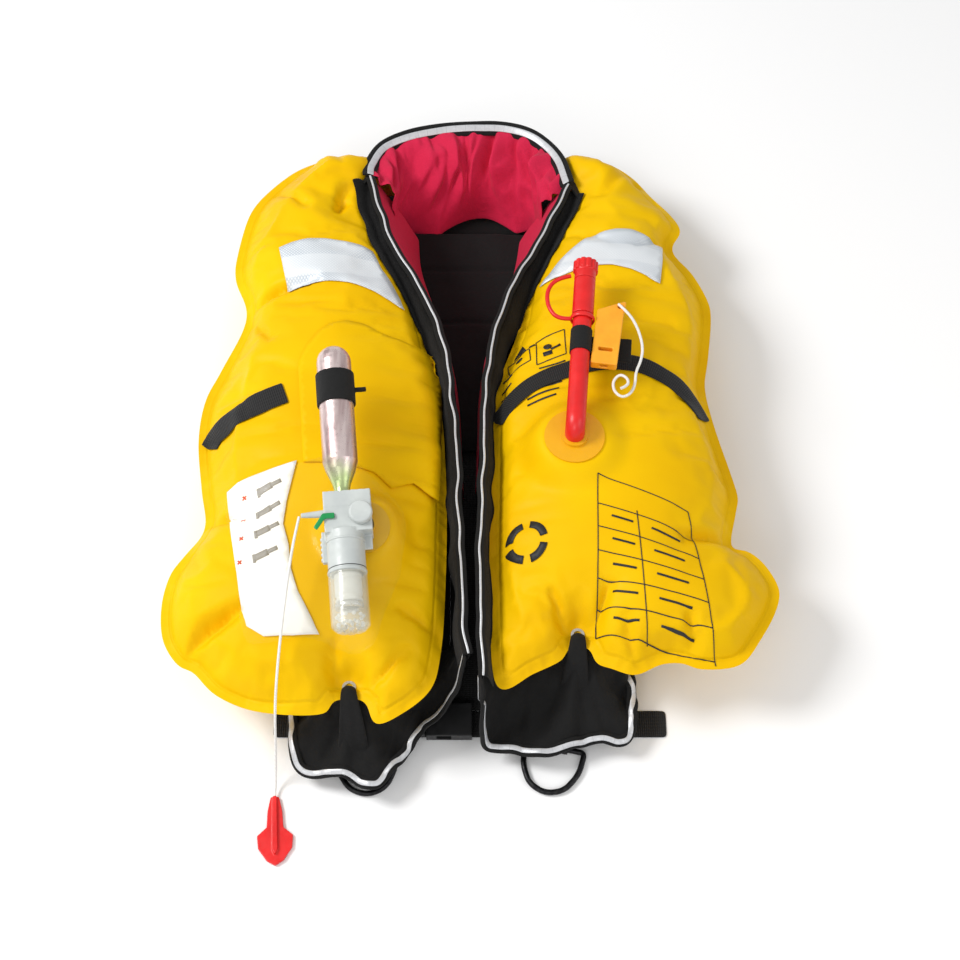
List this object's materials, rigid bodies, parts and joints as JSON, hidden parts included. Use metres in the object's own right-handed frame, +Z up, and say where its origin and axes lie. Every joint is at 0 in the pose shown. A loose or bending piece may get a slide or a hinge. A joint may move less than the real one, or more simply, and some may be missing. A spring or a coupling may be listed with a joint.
{
  "type": "inflatable life jacket",
  "caption": "Inflated horseshoe-shaped life jacket laid flat on its back, with gas inflator, pull cord, oral tube, whistle, crimson-lined collar, waist belt and D-rings.",
  "frame": {"origin": "middle of the outline on the surface that the jacket lies on, under the gap between the two lobes", "axes": "+Z up through the front of the jacket, +Y towards the collar, +X towards the lobe with the oral tube"},
  "size_m": [0.591, 0.8066, 0.2153],
  "materials": {
    "bladder_coated_nylon": "smooth coated nylon with a soft sheen",
    "cover_cloth": "woven",
    "hook_and_loop": "fuzzy",
    "crimson_lining": "thin woven lining",
    "silver_piping": "reflective woven",
    "webbing": "ribbed webbing",
    "black_plastic": "satin",
    "reflective_tape": "micro-prismatic",
    "card": "matt",
    "clear_film": "clear soft film",
    "black_metal": "satin",
    "zinc_steel": "iridescent zinc plate",
    "elastic": "knitted elastic",
    "grey_plastic": "satin moulded",
    "manifold_plastic": "satin",
    "rubber_seal": "matt",
    "steel": "plain",
    "green_plastic": "moulded",
    "white_plastic": "moulded",
    "clear_plastic": "clear moulded",
    "white_cord": "braided",
    "red_plastic": "moulded",
    "orange_film": "soft film",
    "orange_plastic": "translucent moulded",
    "eyelet_metal": "nickel"
  },
  "bodies": {
    "jacket": {"bladder": "bladder_coated_nylon", "eyelets": "eyelet_metal", "cover_tabs": "cover_cloth", "cover_shell": "cover_cloth", "cover_edge_left": "cover_cloth", "cover_edge_right": "cover_cloth", "cover_tail_left": "cover_cloth", "cover_tail_right": "cover_cloth", "hook_strip": "hook_and_loop", "loop_strip": "hook_and_loop", "edge_lining_left": "crimson_lining", "edge_lining_right": "crimson_lining", "piping_left": "silver_piping", "piping_right": "silver_piping", "piping_collar": "silver_piping", "collar_shell": "cover_cloth", "collar_lining": "crimson_lining", "back_panel": "cover_cloth", "back_strap": "webbing", "waist_belt": "webbing", "buckle_female": "black_plastic", "reflective_patch_left": "reflective_tape", "reflective_patch_right": "reflective_tape", "retainer_strap_left": "webbing", "retainer_strap_right": "webbing", "instruction_card": "card", "clear_pouch": "clear_film", "inflator_panel": "bladder_coated_nylon", "ring_tab_left": "webbing", "ring_tab_right": "webbing", "cylinder_band": "elastic", "inflator_body": "grey_plastic", "manifold": "manifold_plastic", "seal_ring": "rubber_seal", "cap_nut": "grey_plastic", "lever_pivot_pin": "steel", "firing_spring": "steel", "bobbin": "white_plastic", "oral_flange": "orange_film", "oral_tube": "red_plastic", "oral_sleeve": "red_plastic", "valve_spring": "steel", "cap_tether": "red_plastic", "tube_band": "elastic", "whistle_lanyard": "white_cord"},
    "gas_cylinder": {"co2_cylinder": "zinc_steel"},
    "lever": {"firing_lever": "grey_plastic"},
    "cord": {"pull_cord": "white_cord", "pull_handle": "red_plastic"},
    "pin": {"pierce_pin": "steel"},
    "clip": {"indicator_clip": "green_plastic"},
    "water_cap": {"bobbin_cap": "clear_plastic"},
    "mouth_cap": {"oral_cap": "red_plastic"},
    "valve": {"oral_poppet": "red_plastic"},
    "whistle_body": {"whistle": "orange_plastic"},
    "ring_left": {"d_ring_left": "black_metal"},
    "ring_right": {"d_ring_right": "black_metal"},
    "buckle_plug": {"buckle_male": "black_plastic"},
    "adjuster": {"belt_adjuster": "black_plastic"}
  },
  "joints": [
    {"name": "lever_pull", "type": "hinge", "parent": "jacket", "child": "lever", "pos_m": [-0.13001, -0.15888, 0.17763], "axis": [0, 0, 1], "range_deg": [0, 45]},
    {"name": "cord_follow", "type": "hinge", "parent": "lever", "child": "cord", "pos_m": [-0.15642, -0.16115, 0.17763], "axis": [0, 0, 1], "range_deg": [-45.01, 0.01]},
    {"name": "pin_strike", "type": "slide", "parent": "jacket", "child": "pin", "axis": [-0.0846, 0.9866, 0.1392], "range_m": [-0.00001, 0.00401]},
    {"name": "cylinder_screw", "type": "hinge", "parent": "jacket", "child": "gas_cylinder", "pos_m": [-0.1185, -0.141, 0.18], "axis": [-0.0846, 0.9866, 0.1392], "continuous": true},
    {"name": "clip_lift", "type": "slide", "parent": "jacket", "child": "clip", "axis": [0.0119, -0.1387, 0.9903], "range_m": [0, 0.012]},
    {"name": "water_cap_screw", "type": "hinge", "parent": "jacket", "child": "water_cap", "pos_m": [-0.11004, -0.23966, 0.16608], "axis": [-0.0846, 0.9866, 0.1392], "continuous": true},
    {"name": "mouth_cap_pull", "type": "slide", "parent": "jacket", "child": "mouth_cap", "axis": [0.0819, 0.9966, 0], "range_m": [0, 0.025]},
    {"name": "valve_press", "type": "slide", "parent": "jacket", "child": "valve", "axis": [0.0819, 0.9966, 0], "range_m": [-0.003, 0], "stiffness_N_per_m": 200, "springref_m": 0.001},
    {"name": "whistle_draw", "type": "slide", "parent": "jacket", "child": "whistle_body", "axis": [0.1392, 0.9903, 0], "range_m": [0, 0.045]},
    {"name": "ring_left_swing", "type": "hinge", "parent": "jacket", "child": "ring_left", "pos_m": [-0.1, -0.32, 0.00315], "axis": [-0.9976, -0.0698, 0], "range_deg": [0, 20]},
    {"name": "ring_right_swing", "type": "hinge", "parent": "jacket", "child": "ring_right", "pos_m": [0.082, -0.3195, 0.00315], "axis": [-0.9744, 0.225, 0], "range_deg": [0, 60]},
    {"name": "buckle_release", "type": "slide", "parent": "jacket", "child": "buckle_plug", "axis": [-1, 0, 0], "range_m": [0, 0.025]},
    {"name": "adjuster_slide", "type": "slide", "parent": "jacket", "child": "adjuster", "axis": [1, 0, 0], "range_m": [0, 0.05]}
  ],
  "couplings": [
    {"joint": "cord_follow", "follows": "lever_pull", "ratio": -1},
    {"joint": "pin_strike", "follows": "lever_pull", "m_per_rad": 0.005093}
  ]
}
